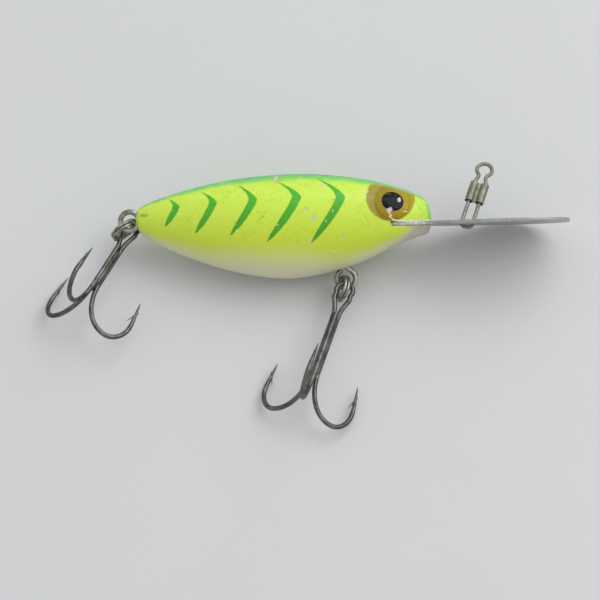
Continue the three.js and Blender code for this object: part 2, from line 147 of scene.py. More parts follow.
def profile(points):
    """A smooth height over x through a few points, for arrays of x."""
    px, py = np.array(points, float).T
    before = np.maximum(np.arange(len(px)) - 1, 0)
    after = np.minimum(np.arange(len(px)) + 1, len(px) - 1)
    slope = (py[after] - py[before]) / (px[after] - px[before])

    def height(x):
        i = np.clip(np.searchsorted(px, x, side="right") - 1, 0, len(px) - 2)
        span = px[i + 1] - px[i]
        t = np.clip((x - px[i]) / span, 0, 1)
        return ((2 * t**3 - 3 * t**2 + 1) * py[i] + (t**3 - 2 * t**2 + t) * span * slope[i]
                + (3 * t**2 - 2 * t**3) * py[i + 1] + (t**3 - t**2) * span * slope[i + 1])

    return height


back, belly, thickness = profile(BACK), profile(BELLY), profile(THICKNESS)


def arc(centre, radius, start, end, steps):
    """Points on an arc in the xy plane; radius is a number or an (x, y) pair."""
    rx, ry = radius if isinstance(radius, tuple) else (radius, radius)
    angle = np.linspace(rad(start), rad(end), steps + 1)
    cx, cy = centre
    return np.stack([cx + rx * np.cos(angle), cy + ry * np.sin(angle), 0 * angle], 1)


def bezier(points, steps):
    """A cubic curve with four control points."""
    a, b, c, d = (np.array(p, float) for p in points)
    t = np.linspace(0, 1, steps + 1)[:, None]
    return (1 - t) ** 3 * a + 3 * t * (1 - t) ** 2 * b + 3 * t**2 * (1 - t) * c + t**3 * d


def spline(points, steps):
    """A centripetal Catmull-Rom curve through the points."""
    p = np.array(points, float)
    p = np.vstack([2 * p[0] - p[1], p, 2 * p[-1] - p[-2]])
    pieces = []
    for p0, p1, p2, p3 in zip(p, p[1:], p[2:], p[3:]):
        spans = (p1 - p0, p2 - p1, p3 - p2)
        k0, k1, k2 = (max(np.linalg.norm(span), 1e-9) ** 0.5 for span in spans)
        start = ((p1 - p0) / k0 - (p2 - p0) / (k0 + k1) + (p2 - p1) / k1) * k1
        end = ((p2 - p1) / k1 - (p3 - p1) / (k1 + k2) + (p3 - p2) / k2) * k1
        pieces.append(bezier((p1, p1 + start / 3, p2 - end / 3, p2), steps)[:-1])
    return np.vstack([*pieces, p[-2]])


def circle(count):
    """Points round a circle of radius 1, the first not repeated."""
    angle = np.linspace(0, 2 * math.pi, count, endpoint=False)
    return np.stack([np.cos(angle), np.sin(angle)], 1)


def distances(path):
    """How far each point lies along a path."""
    return np.concatenate([[0], np.cumsum(np.linalg.norm(np.diff(path, axis=0), axis=1))])


def even(path, step):
    """The same path with its points step apart."""
    along = distances(path)
    at = np.linspace(0, along[-1], max(2, round(along[-1] / step)) + 1)
    return np.stack([np.interp(at, along, path[:, k]) for k in range(3)], 1)


# -------- meshes


def into_scene(name, data):
    made = bpy.data.objects.new(name, data)
    scene.collection.objects.link(made)
    return made


def mesh_object(name, vertices, faces, material):
    mesh = bpy.data.meshes.new(name)
    mesh.from_pydata((np.array(vertices) * MM).tolist(), [], faces)
    mesh.materials.append(material)
    mesh.validate()
    return into_scene(name, mesh)


def mesh_of(item):
    """The mesh of an object as its modifiers or its curve's settings make it."""
    return bpy.data.meshes.new_from_object(item.evaluated_get(bpy.context.evaluated_depsgraph_get()))


def loft(name, rings, material):
    """A closed skin over rings of equal point count, with a fan at each end."""
    count, sides = len(rings), len(rings[0])
    vertices = np.vstack([*rings, [np.mean(rings[0], 0)], [np.mean(rings[-1], 0)]])
    first, last, end = count * sides, count * sides + 1, (count - 1) * sides
    faces = []
    for j in range(sides):
        a, b = j, (j + 1) % sides
        faces += [(i + a, i + b, i + b + sides, i + a + sides) for i in range(0, end, sides)]
        faces += [(first, b, a), (last, end + a, end + b)]
    return mesh_object(name, vertices, faces, material)


def frames(points):
    """Tangents and a normal at each point that turns as little as it can along the path."""
    tangents = np.gradient(points, axis=0)
    tangents /= np.linalg.norm(tangents, axis=1)[:, None]
    normal = np.cross([0, 0, 1.0] if abs(tangents[0][2]) < 0.9 else [1.0, 0, 0], tangents[0])
    normals = []
    for t in tangents:
        normal = normal - t * (normal @ t)
        normal = normal / np.linalg.norm(normal)
        normals.append(normal)
    return tangents, np.array(normals)


def sweep(name, points, radius, material, sides=20, section=None, dome=0.3):
    """A closed wire along the points, its ends slightly domed. radius is a number or one for
    each point, and section a closed outline that takes the place of the unit circle."""
    points = np.array(points, float)
    lift = np.radians([90, 60, 35, 12])  # angles on the domes, from their tips
    station = np.pad(np.arange(len(points)), len(lift), mode="edge")
    lift = np.concatenate([-lift, np.zeros(len(points)), lift[::-1]])
    tangents, normals = (axes[station] for axes in frames(points))
    radius = np.broadcast_to(np.array(radius, float), (len(points),))[station]
    points = points[station] + (radius * dome * np.sin(lift))[:, None] * tangents
    radius = radius * np.cos(lift) + 1e-3 * (lift != 0)
    if section is None:
        section = circle(sides)
    binormals = np.cross(tangents, normals)
    rings = [p + r * (section[:, :1] * n + section[:, 1:] * b)
             for p, r, n, b in zip(points, radius, normals, binormals)]
    return loft(name, rings, material)


def flat_plate(name, outlines, thickness_mm, bevel, material):
    """A plate in the xy plane with holes and rounded edges, through a filled and bevelled curve."""
    data = bpy.data.curves.new(name, "CURVE")
    data.dimensions = "2D"
    data.fill_mode = "BOTH"
    data.extrude = (thickness_mm / 2 - bevel) * MM
    data.bevel_depth = bevel * MM
    data.bevel_resolution = 3
    data.offset = -bevel * MM
    for outline in outlines:
        line = data.splines.new("POLY")
        line.points.add(len(outline) - 1)
        for point, (x, y) in zip(line.points, outline):
            point.co = (x * MM, y * MM, 0, 1)
        line.use_cyclic_u = True
    curve = into_scene(name + "_outline", data)
    mesh = mesh_of(curve)
    bpy.data.objects.remove(curve)
    mesh.name = name
    mesh.materials.clear()
    mesh.materials.append(material)
    weld(mesh)
    return into_scene(name, mesh)


def weld(mesh):
    work = bmesh.new()
    work.from_mesh(mesh)
    bmesh.ops.remove_doubles(work, verts=work.verts, dist=1e-7)
    bmesh.ops.recalc_face_normals(work, faces=work.faces)
    work.to_mesh(mesh)
    work.free()


def combine(piece, others, operation):
    """Cuts the others out of the piece, or joins or intersects them with it; they are used up."""
    for other in others:
        modifier = piece.modifiers.new("combine", "BOOLEAN")
        modifier.operation = operation
        modifier.object = other
        modifier.solver = "MANIFOLD"
        result = mesh_of(piece)
        piece.modifiers.clear()
        piece.data = result
        bpy.data.objects.remove(other)
    return piece


def finish_piece(piece, axes, body, nodes, sharp=35):
    """Smooth shading with crisp edges, then the piece's place, body and CAD nodes."""
    mesh = piece.data
    mesh.polygons.foreach_set("use_smooth", [True] * len(mesh.polygons))
    mesh.set_sharp_from_angle(angle=rad(sharp))
    piece.matrix_world = axes
    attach(piece, body)
    if nodes:
        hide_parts(*nodes)


# -------- node helper


def srgb(red, green, blue):
    """A linear colour from the 0 to 255 values that a screen shows."""
    share = (c / 255 for c in (red, green, blue))
    return (*(c / 12.92 if c <= 0.04045 else ((c + 0.055) / 1.055) ** 2.4 for c in share), 1)


class Look:
    """One material. Values are sockets or numbers; positions are the piece's own, in millimetres."""

    def __init__(self, name):
        self.material = bpy.data.materials.new(name)
        self.material.use_nodes = True
        self.tree = self.material.node_tree
        self.surface = self.tree.nodes["Principled BSDF"]
        own = self.node("ShaderNodeTexCoord").outputs["Object"]
        self.place = self.vector("SCALE", own, scale=1000)
        self.x, self.y, self.z = self.node("ShaderNodeSeparateXYZ", [self.place]).outputs
        self.colour = None

    def put(self, socket, value):
        if isinstance(value, bpy.types.NodeSocket):
            self.tree.links.new(value, socket)
        else:
            socket.default_value = value

    def node(self, kind, inputs=(), **settings):
        """A new node. Its inputs are a list in order, or a dict by name or number."""
        made = self.tree.nodes.new(kind)
        for name, value in settings.items():
            setattr(made, name, value)
        for socket, value in inputs.items() if isinstance(inputs, dict) else enumerate(inputs):
            self.put(made.inputs[socket], value)
        return made

    def math(self, operation, a, b=0.0, c=0.0):
        return self.node("ShaderNodeMath", [a, b, c], operation=operation).outputs[0]

    def add(self, *terms):
        return reduce(lambda total, term: self.math("ADD", total, term), terms)

    def times(self, *factors):
        return reduce(lambda total, factor: self.math("MULTIPLY", total, factor), factors)

    def minus(self, a, b):
        return self.math("SUBTRACT", a, b)

    def most(self, *values):
        return reduce(lambda total, value: self.math("MAXIMUM", total, value), values)

    def vector(self, operation, a, b=(0, 0, 0), scale=1.0):
        made = self.node("ShaderNodeVectorMath", [a, b], operation=operation)
        if operation == "SCALE":
            self.put(made.inputs["Scale"], scale)
        return made.outputs["Value" if operation in ("LENGTH", "DISTANCE", "DOT_PRODUCT") else "Vector"]

    def step(self, value, low, high):
        """0 at low, 1 at high, smooth between; low may be above high."""
        flip = low > high
        ends = {"From Min": min(low, high), "From Max": max(low, high),
                "To Min": float(flip), "To Max": float(not flip)}
        made = self.node("ShaderNodeMapRange", {"Value": value, **ends}, interpolation_type="SMOOTHSTEP")
        return made.outputs[0]

    def mix(self, factor, a, b):
        return self.node("ShaderNodeMix", {0: factor, 6: a, 7: b}, data_type="RGBA").outputs[2]

    def over(self, factor, colour):
        """Lays a colour over the colour so far."""
        self.colour = self.mix(factor, self.colour, colour)

    def curve(self, value, points, x_span, y_span):
        """A height over x through the points, as a float curve between 0 and 1."""
        made = self.node("ShaderNodeFloatCurve")
        line = made.mapping.curves[0]
        for index, (x, y) in enumerate(points):
            if index < 2:
                line.points[index].location = (x / x_span, y / y_span)
            else:
                line.points.new(x / x_span, y / y_span)
        made.mapping.update()
        self.put(made.inputs["Value"], self.math("DIVIDE", value, x_span))
        return self.times(made.outputs[0], y_span)

    def noise(self, scale, detail=3.0, roughness=0.55, distortion=0.0, stretch=None, shift=(0, 0, 0)):
        place = self.vector("ADD", self.place, shift)
        if stretch:
            place = self.vector("MULTIPLY", place, stretch)
        made = self.node("ShaderNodeTexNoise", {"Vector": place, "Scale": scale, "Detail": detail,
                                                "Roughness": roughness, "Distortion": distortion})
        return made.outputs[0]

    def cells(self, scale, feature="F1", vector=None):
        inputs = {"Vector": vector or self.place, "Scale": scale}
        return self.node("ShaderNodeTexVoronoi", inputs, feature=feature).outputs[0]

    def bump(self, height, depth, strength):
        inputs = {"Distance": depth * MM, "Strength": strength, "Height": height}
        self.put(self.surface.inputs["Normal"], self.node("ShaderNodeBump", inputs).outputs[0])

    def set(self, **values):
        for name, value in values.items():
            self.put(self.surface.inputs[name.replace("_", " ")], value)


# -------- paint on the body

# Each chevron: corner (x, y), rise and fall of its two arms, how far they run back, half width.
CHEVRONS = [
    ((10.9, 4.35), (2.0, 5.1), (1.9, 2.8), 1.0),
    ((20.5, 5.35), (2.8, 8.0), (3.1, 4.6), 1.07),
    ((30.7, 5.95), (3.7, 9.2), (3.7, 5.8), 1.16),
    ((41.8, 6.60), (4.0, 11.5), (4.9, 7.5), 1.28),
    ((52.9, 6.50), (4.9, 11.7), (5.7, 7.5), 1.26),
]
# How far down the yellow goes along the body, and half the width of its fade, as shares of the
# half height below the middle.
YELLOW_ENDS = [(0, 0.7), (16, 0.72), (30, 0.6), (42, 0.6), (54, 0.76), (66, 0.8), (70, 0.6),
               (73, 0.3), (BODY_LENGTH, 0.2)]
FADE_WIDTH = [(0, 0.24), (16, 0.26), (30, 0.3), (42, 0.32), (54, 0.24), (61, 0.18), (69, 0.16),
              (BODY_LENGTH, 0.16)]
PUPIL = {"centre": (66.1, 5.6), "radii": (2.85, 2.45), "turn": rad(-18)}
IRIS = {"centre": (65.6, 6.6), "radii": (6.3, 6.05)}
LIT_CRESCENT = {"centre": (67.0, 5.2), "radii": (5.2, 5.6)}
EYE_RELIEF = {"centre": (66.1, 5.6), "bulge": 6.0, "height": 0.7, "dome": 4.4, "step": 0.2}

# Chips in the paint, and one painted highlight on the pupil: place, half sizes, turn, and how light the
# ground under it is.
CHIPS_AND_EYE_GLINT = [
    ((36.3, 11.5), (0.65, 0.95), -20, 0.75), ((48.7, 9.7), (0.55, 0.42), 15, 1.0),
    ((44.3, 3.7), (0.45, 0.6), 30, 0.45), ((46.2, 1.4), (0.55, 1.0), -35, 0.6),
    ((53.7, -3.0), (0.5, 0.42), 10, 0.55), ((49.3, 0.6), (0.2, 0.3), 0, 0.9),
    ((37.0, -0.4), (0.25, 0.2), 0, 0.9), ((59.6, 8.1), (0.4, 0.32), 0, 1.0),
    # The first entry on the next line, on the pupil's right, is a painted highlight: a glint on the eye,
    # not a chip.
    ((67.8, 6.0), (0.42, 0.6), 0, 1.0), ((65.3, 3.45), (0.78, 0.55), 12, 0.95),
    ((69.4, 3.1), (0.6, 0.16), 0, 1.0), ((45.2, -4.2), (0.35, 0.4), 20, 0.8),
    ((51.0, 3.2), (0.2, 0.28), 0, 0.7),
]
CHIP_GROUND = ((222, 212, 200), (166, 160, 128))  # the lightest and the darkest
SCRATCH = [(65.1, 2.85), (65.75, 2.0), (65.35, 1.75), (66.3, 1.0), (67.1, 0.75)]
STAINS = [((2.4, 2.3), (1.3, 0.5)), ((41.9, -4.6), (0.3, 0.12)), ((44.2, -4.25), (0.3, 0.13)),
          ((33.4, 1.7), (0.2, 0.14)), ((42.0, 1.7), (0.2, 0.16)), ((16.0, 5.9), (0.18, 0.14))]


class ShellPaint(Look):
    """Yellow over a pale belly, with a green back, chevrons and a painted eye, worn by use. Each
    method paints one layer over the colour so far."""

    def __init__(self):
        super().__init__("lure_paint")
        self.rough_x = self.add(self.x, self.ragged(0.35, 1.6, 3, shift=(11, 3, 0)))
        self.rough_y = self.add(self.y, self.ragged(0.35, 1.5, 3, shift=(2, 17, 5)))
        self.rough_place = self.node("ShaderNodeCombineXYZ", [self.rough_x, self.rough_y, 0.0]).outputs[0]

        # how high a point is on the flank: -1 on the belly's line, 1 on the back's
        top = self.curve(self.x, BACK, BODY_LENGTH, 15)
        low = self.times(self.curve(self.x, [(x, -y) for x, y in BELLY], BODY_LENGTH, 15), -1)
        middle = self.times(self.add(top, low), 0.5)
        half = self.times(self.minus(top, low), 0.5)
        self.share = self.math("DIVIDE", self.minus(self.y, middle), half)
        self.soft_share = self.add(self.share, self.ragged(0.14, 0.16, 4, 0.6, shift=(5, 0, 9)))
        self.right_side = self.step(self.z, -0.5, 0.5)
        self.bare = 0.0

    def ragged(self, amount, *noise, **settings):
        """Noise about zero, from half the amount below to half above."""
        return self.times(self.add(self.noise(*noise, **settings), -0.5), amount)

    def ellipse(self, place, centre, radii, angle=0.0):
        """How far out of an ellipse a point lies: 1 on its edge, 0 in its middle."""
        local = self.vector("SUBTRACT", place, (*centre, 0))
        inputs = {"Vector": local, "Angle": -angle}
        turned = self.node("ShaderNodeVectorRotate", inputs, rotation_type="Z_AXIS").outputs[0]
        shaped = self.vector("MULTIPLY", turned, (1 / radii[0], 1 / radii[1], 0))
        return self.vector("LENGTH", shaped)

    def stroke(self, place, start, end, width):
        """1 on a thin straight scratch between two points, 0 a width away."""
        a, b = Vector((*start, 0)), Vector((*end, 0))
        flat = self.vector("MULTIPLY", place, (1, 1, 0))
        local = self.vector("SUBTRACT", flat, tuple(a))
        span = b - a
        share = self.times(self.vector("DOT_PRODUCT", local, tuple(span)), 1 / span.length_squared)
        share = self.math("MINIMUM", self.most(share, 0.0), 1.0)
        foot = self.vector("SCALE", tuple(span), scale=share)
        distance = self.vector("LENGTH", self.vector("SUBTRACT", local, foot))
        return self.step(distance, width, width * 0.4)

    def chevron(self, corner, arms, run, half_width):
        """1 inside one chevron: a curved arm up and a longer, straighter one down, both run back."""
        x, y = self.rough_x, self.rough_y
        up = self.most(self.math("DIVIDE", self.minus(y, corner[1]), arms[0]), 0.0)
        down = self.most(self.math("DIVIDE", self.minus(corner[1], y), arms[1]), 0.0)
        back_up = self.times(self.math("POWER", up, 1.7), run[0])
        back_down = self.times(self.math("POWER", down, 1.22), run[1])
        line = self.minus(corner[0], self.add(back_up, back_down))
        thin_up = self.minus(1.0, self.math("POWER", self.math("MINIMUM", up, 1.0), 1.1))
        thin_down = self.minus(1.0, self.math("POWER", self.math("MINIMUM", down, 1.0), 3.6))
        upper_width = self.add(self.times(thin_up, 0.78), 0.22)
        width = self.times(upper_width, self.math("POWER", thin_down, 0.8), half_width)
        inside = self.minus(width, self.math("ABSOLUTE", self.minus(x, line)))
        ends = self.times(self.step(up, 1.04, 0.94), self.step(down, 1.03, 0.93))
        return self.times(self.step(inside, -0.13, 0.22), ends)

    def ground(self):
        """Yellow, fading through a dull yellow to the pale belly, greyer under the chin as painted shade.
        """
        self.colour = self.mix(self.step(self.rough_y, -7.0, 8.0), srgb(196, 212, 50), srgb(206, 238, 84))
        cloud = self.step(self.noise(0.45, 4, 0.65), 0.35, 0.75)
        self.over(self.times(cloud, 0.35), srgb(190, 218, 54))
        below = self.add(self.soft_share, self.curve(self.x, YELLOW_ENDS, BODY_LENGTH, 1))
        past = self.math("DIVIDE", below, self.curve(self.x, FADE_WIDTH, BODY_LENGTH, 1))
        dull = self.mix(self.step(past, 1.1, -0.6), self.colour, srgb(206, 212, 128))
        # The greyer belly colour towards the nose is painted shade under the head and lip.
        pale = self.mix(self.step(self.x, 61, 72), srgb(214, 208, 182), srgb(190, 181, 166))
        self.colour = self.mix(self.step(past, 0.3, -1.5), dull, pale)

    def back(self):
        """Green along the back and round the nose, teal on the ridge, and green wrinkles on the snout."""
        front = self.step(self.add(self.x, self.times(self.y, 0.12)), 74.7, 76.4)
        nose = self.times(front, self.step(self.y, -0.3, 0.6))
        mask = self.most(self.step(self.soft_share, 0.8, 0.95), nose)
        thin = self.step(self.noise(0.8, 4, 0.6, shift=(3, 3, 3)), 0.1, 0.5)
        self.over(self.times(thin, mask), srgb(96, 202, 88))
        self.over(self.step(self.soft_share, 0.95, 1.0), srgb(58, 168, 118))
        wrinkle = self.step(self.noise(1.3, 4, 0.65, distortion=0.8, shift=(6, 2, 1)), 0.47, 0.6)
        snout = self.times(self.step(self.x, 70.5, 74), self.step(self.y, 0.8, 3.2))
        self.over(self.times(wrinkle, snout, 0.6), srgb(112, 210, 92))

    def chevrons(self):
        """The five chevrons, darker low down and thin in places."""
        self.marks = self.most(*(self.chevron(*made) for made in CHEVRONS))
        tint = self.mix(self.step(self.y, -4, 8), srgb(50, 150, 10), srgb(62, 176, 38))
        thin = self.step(self.noise(1.1, 5, 0.7, shift=(7, 1, 2)), 0.16, 0.4)
        self.over(self.times(self.marks, thin, 0.96), tint)

    def eye(self):
        """An amber patch, brighter in front, a khaki crescent behind that is a painted highlight on the
        eye's dome, a darker line round the lens that is painted shade at its step, and a black pupil.
        """
        out = self.ellipse(self.rough_place, IRIS["centre"], IRIS["radii"])
        self.iris = self.times(self.step(out, 1.02, 0.95), self.step(self.soft_share, 0.94, 0.86))
        amber = self.mix(self.step(self.x, 63, 71), srgb(146, 125, 22), srgb(166, 146, 16))
        amber = self.mix(self.step(self.y, 3.6, 1.0), amber, srgb(142, 114, 12))
        # The khaki crescent is a painted highlight where light catches the rear of the eye's dome.
        behind = self.ellipse(self.place, LIT_CRESCENT["centre"], LIT_CRESCENT["radii"])
        crescent = self.times(self.step(behind, 0.98, 1.08), self.step(self.x, 65, 62))
        amber = self.mix(crescent, amber, srgb(158, 144, 60))
        # A darker line round the lens's edge: painted shade at the step of the raised lens.
        ring = self.ellipse(self.place, EYE_RELIEF["centre"], [EYE_RELIEF["dome"]] * 2)
        line = self.times(self.step(ring, 0.93, 1.0), self.step(ring, 1.08, 1.0))
        amber = self.mix(self.times(line, 0.35), amber, srgb(110, 98, 24))
        amber = self.mix(self.times(self.noise(0.9, 4, 0.6), 0.24), amber, srgb(186, 168, 44))
        self.over(self.iris, amber)
        inside = self.ellipse(self.place, PUPIL["centre"], PUPIL["radii"], PUPIL["turn"])
        self.pupil = self.step(inside, 1.03, 0.96)
        self.over(self.pupil, srgb(14, 20, 26))

    def crackle(self):
        """Fine cracks in patches, mostly on the flank's upper half."""
        bend = [self.times(self.noise(0.8, 3, shift=shift), 2.4) for shift in ((1, 5, 2), (9, 2, 4))]
        bent = self.vector("ADD", self.place, self.node("ShaderNodeCombineXYZ", [*bend, 0.0]).outputs[0])
        crack = self.step(self.cells(0.42, "DISTANCE_TO_EDGE", bent), 0.022, 0.0)
        patch = self.step(self.noise(0.14, 2, shift=(20, 4, 0)), 0.42, 0.56)
        where = self.times(patch, self.step(self.share, -0.45, -0.1))
        self.crack = self.times(crack, where, self.minus(1.0, self.pupil))
        self.over(self.times(self.crack, 0.4), srgb(136, 140, 40))

    def dirt(self):
        """Specks of dirt all over, and stains on the right flank."""
        patch = self.step(self.noise(0.3, 2), 0.56, 0.62)
        self.over(self.times(self.step(self.cells(0.62), 0.11, 0.06), patch, 0.45), srgb(96, 96, 40))
        for centre, radii in STAINS:
            out = self.add(self.ellipse(self.place, centre, radii), self.ragged_edge)
            self.over(self.times(self.step(out, 1.0, 0.7), self.right_side, 0.5), srgb(120, 100, 36))

    def chips(self):
        """Chips down to the pale ground and a scratch on the right flank, a painted highlight on the
        pupil drawn like a chip, and tiny chips all over.
        """
        for centre, radii, angle, light in CHIPS_AND_EYE_GLINT:
            out = self.add(self.ellipse(self.place, centre, radii, rad(angle)), self.ragged_edge)
            mark = self.times(self.step(out, 1.14, 0.84), self.right_side)
            lightest, darkest = (srgb(*ground) for ground in CHIP_GROUND)
            shade = tuple(light * a + (1 - light) * b for a, b in zip(lightest, darkest))
            self.over(self.times(mark, 0.5 + 0.35 * light), shade)
            self.bare = self.most(self.bare, mark)
        for start, end in zip(SCRATCH, SCRATCH[1:]):
            mark = self.times(self.stroke(self.rough_place, start, end, 0.24), self.right_side)
            self.over(mark, srgb(228, 222, 190))
            self.bare = self.most(self.bare, mark)
        shifted = self.vector("ADD", self.place, (3, 8, 1))
        patch = self.step(self.noise(0.22, 2, shift=(40, 0, 0)), 0.52, 0.6)
        tiny = self.times(self.step(self.cells(0.36, vector=shifted), 0.13, 0.08), patch)
        self.over(self.times(tiny, 0.6), srgb(236, 240, 190))

    def slot_edge(self):
        """Paint worn off in bits along both edges of the lip's slot."""
        drop = self.times(self.minus(LIP["start"], self.x), math.tan(LIP["rise"]))
        near = self.step(self.math("ABSOLUTE", self.add(self.y, drop)), 1.02, 0.66)
        bits = self.step(self.noise(2.2, 4, 0.7), 0.42, 0.56)
        edge = self.times(near, self.step(self.x, 66.6, 67.4), bits)
        self.over(self.times(edge, 0.85), srgb(232, 232, 214))

    def hairlines(self):
        """Fine pale scratches along the body."""
        fine = self.noise(1.0, 2, 0.4, stretch=(0.25, 5.0, 1.5), shift=(0, 6, 3))
        patch = self.step(self.noise(0.2, 2, shift=(8, 8, 8)), 0.45, 0.62)
        self.hair = self.times(self.step(fine, 0.66, 0.72), patch)
        self.over(self.times(self.hair, 0.36), srgb(236, 246, 176))

    def finish(self):
        wear = self.add(self.times(self.noise(0.5, 4, 0.65, shift=(1, 1, 30)), 0.3), 0.22)
        worn = self.add(wear, self.times(self.bare, 0.4), self.times(self.hair, 0.2))
        rough = self.minus(self.math("MINIMUM", worn, 1.0), self.times(self.pupil, 0.12))
        matt = self.add(self.times(self.pupil, 0.12), self.times(self.iris, 0.14))
        self.set(Base_Color=self.colour, Roughness=rough, Coat_Weight=0.12, Coat_Roughness=0.12,
                 Specular_IOR_Level=self.minus(0.34, matt))
        fine = self.noise(3.0, 2, shift=(0, 0, 7))
        layers = ((self.noise(0.55, 3), 0.5), (self.bare, -0.9), (self.crack, -0.5), (self.hair, -0.12),
                  (fine, 0.05), (self.marks, 0.12))
        self.bump(self.add(*(self.times(*layer) for layer in layers)), 0.06, 0.8)

    def make(self):
        self.ragged_edge = self.ragged(2.4, 2.2, 4, 0.7, shift=(4, 4, 4))
        for layer in (self.ground, self.back, self.chevrons, self.eye, self.crackle, self.dirt,
                      self.chips, self.slot_edge, self.hairlines, self.finish):
            layer()
        return self.material


def bare_plastic():
    look = Look("bare_plastic")
    grain = look.noise(1.2, 4, 0.6)
    colour = look.mix(grain, srgb(196, 200, 168), srgb(224, 226, 200))
    look.set(Base_Color=colour, Roughness=look.add(look.times(grain, 0.2), 0.4))
    look.bump(look.noise(4, 3), 0.03, 0.5)
    return look.material


# -------- metals


def metal(name, light, dark, rough, spots=0.4, metallic=1.0, relief=0.02, scale=1.0):
    """Worn metal: mottled, with scratches drawn along x, dull spots and a fine relief."""
    look = Look(name)
    cloud = look.noise(0.55 * scale, 5, 0.65)
    look.colour = look.mix(look.step(cloud, 0.3, 0.72), dark, light)
    fine = look.noise(5.0 * scale, 3, 0.6, shift=(3, 1, 2))
    look.over(look.times(look.step(fine, 0.5, 0.8), 0.45), dark)
    patch = look.step(look.noise(0.8, 3), 0.45, 0.6)
    spot = look.times(look.step(look.cells(1.5 * scale), 0.3, 0.12), patch)
    look.over(look.times(spot, spots), dark)
    drawn = look.noise(3.0 * scale, 3, 0.55, stretch=(0.35, 4.0, 4.0))
    look.over(look.times(look.step(drawn, 0.58, 0.72), 0.3), light)
    tarnish = look.add(rough, look.times(look.add(cloud, -0.5), 0.35), look.times(spot, 0.2),
                       look.times(look.add(drawn, -0.5), 0.25))
    look.set(Base_Color=look.colour, Metallic=metallic, Roughness=look.most(tarnish, 0.08))
    look.bump(look.add(drawn, look.times(fine, 0.7), look.times(spot, -0.6)), relief, 0.9)
    return look.material


def lip_metal():
    """Matt sheet metal, scuffed across its face, with pits, and traces of paint near the head."""
    look = Look("lip_metal")
    cloud = look.noise(0.18, 5, 0.6)
    look.colour = look.mix(look.step(cloud, 0.3, 0.7), srgb(152, 152, 150), srgb(180, 180, 177))
    brushed = look.noise(1.4, 4, 0.65, stretch=(0.2, 3, 3.5))
    look.over(look.times(look.step(brushed, 0.5, 0.7), 0.4), srgb(202, 202, 199))
    smear = look.noise(0.9, 3, 0.5, distortion=1.6, stretch=(0.5, 1, 2.6), shift=(5, 0, 2))
    scuff = look.step(smear, 0.63, 0.69)
    look.over(look.times(scuff, 0.6), srgb(230, 230, 226))
    pit = look.times(look.step(look.cells(0.8), 0.2, 0.08), look.step(look.noise(0.3, 2), 0.5, 0.6))
    look.over(look.times(pit, 0.6), srgb(96, 96, 92))
    residue = look.times(look.step(look.x, 11, 7), look.step(look.noise(1.8, 4, 0.7), 0.44, 0.56))
    look.over(look.times(residue, 0.75), srgb(222, 222, 206))
    rough = look.add(0.42, look.times(look.add(cloud, -0.5), 0.25), look.times(scuff, -0.12))
    bright = look.add(0.7, look.times(residue, -0.7))
    look.set(Base_Color=look.colour, Metallic=bright, Roughness=rough)
    height = look.add(brushed, look.times(scuff, -0.5), look.times(pit, -0.8), look.times(residue, 0.8))
    look.bump(height, 0.04, 0.8)
    return look.material


def paste(name, light, dark):
    """Dried adhesive: cloudy, uneven and half glossy. Also used, near black, as painted shade inside the
    lip's slot.
    """
    look = Look(name)
    cloud = look.noise(1.6, 4, 0.6)
    look.set(Base_Color=look.mix(look.step(cloud, 0.35, 0.65), dark, light),
             Roughness=look.add(0.25, look.times(cloud, 0.35)))
    look.bump(look.noise(2.6, 4, 0.6), 0.12, 0.7)
    return look.material


PAINT = ShellPaint().make()
PLASTIC = bare_plastic()
LIP_METAL = lip_metal()
LINK_METAL = metal("link_metal", srgb(156, 157, 140), srgb(112, 113, 98), 0.45, 0.5, 0.8, relief=0.03)
NICKEL = metal("worn_nickel", srgb(190, 188, 176), srgb(118, 116, 104), 0.3, 0.5)
HOOK_METAL = metal("bronzed_steel", srgb(124, 124, 119), srgb(72, 73, 70), 0.32, 0.4, scale=0.8)
LEAD = metal("cast_lead", srgb(124, 126, 130), srgb(88, 90, 94), 0.6, 0.5, 0.7, relief=0.08)
SHOT = metal("polished_shot", srgb(204, 206, 208), srgb(168, 170, 172), 0.18, 0.15)
GLUE = paste("dried_glue", srgb(236, 236, 222), srgb(186, 188, 160))
# Near-black painted shade for the faces of the lip's slot, which lie in shadow.
SLOT_SHADE = paste("slot_painted_shade", srgb(40, 40, 30), srgb(16, 16, 12))

# -------- body shells

BEYOND = 15  # past the outline, for tools that cut right through
REACH = 13  # out from the seam, for rods that stand inside a half


def skin_rings(stations, inset, face, sides, side):
    """D-shaped rings of one half. The flat of the D lies at z = face, in front of the seam
    plane for the shell and behind it for the hollow that is cut out of it."""
    angles = np.linspace(-math.pi / 2, math.pi / 2, sides + 1)
    cosine, sine = np.cos(angles), np.sin(angles)
    power = 2 / FULLNESS
    cosine = np.maximum(cosine, 0) ** power
    sine = np.sign(sine) * np.abs(sine) ** power
    rings = []
    for x, scale in stations:
        high, low, wide = back(x) - inset, belly(x) + inset, thickness(x) - inset
        y = (high + low) / 2 + scale * (high - low) / 2 * sine
        z = face + (scale * wide - face) * cosine
        if not inset:
            z = z + eye_rise(x, y) * np.minimum(cosine * 2, 1)
        rings.append(np.stack([0 * y + x, y, side * z], 1)[::-side])
    return rings


def eye_rise(x, y):
    """How far the eye stands out at (x, y): a soft swelling with a stepped lens on it."""
    reach = np.hypot(x - EYE_RELIEF["centre"][0], y - EYE_RELIEF["centre"][1])
    share = np.minimum(reach / EYE_RELIEF["bulge"], 1)
    lens = np.clip((EYE_RELIEF["dome"] + 0.15 - reach) / 0.4, 0, 1)
    return EYE_RELIEF["height"] * (1 - share**2) ** 2 + EYE_RELIEF["step"] * lens**2 * (3 - 2 * lens)


def end_cap(at, radius, direction):
    """Stations that round off an end, with the share of the full section at each."""
    angles = np.linspace(rad(4), rad(90), 12)
    return [(at + direction * radius * (1 - math.cos(a)), math.sin(a)) for a in angles]


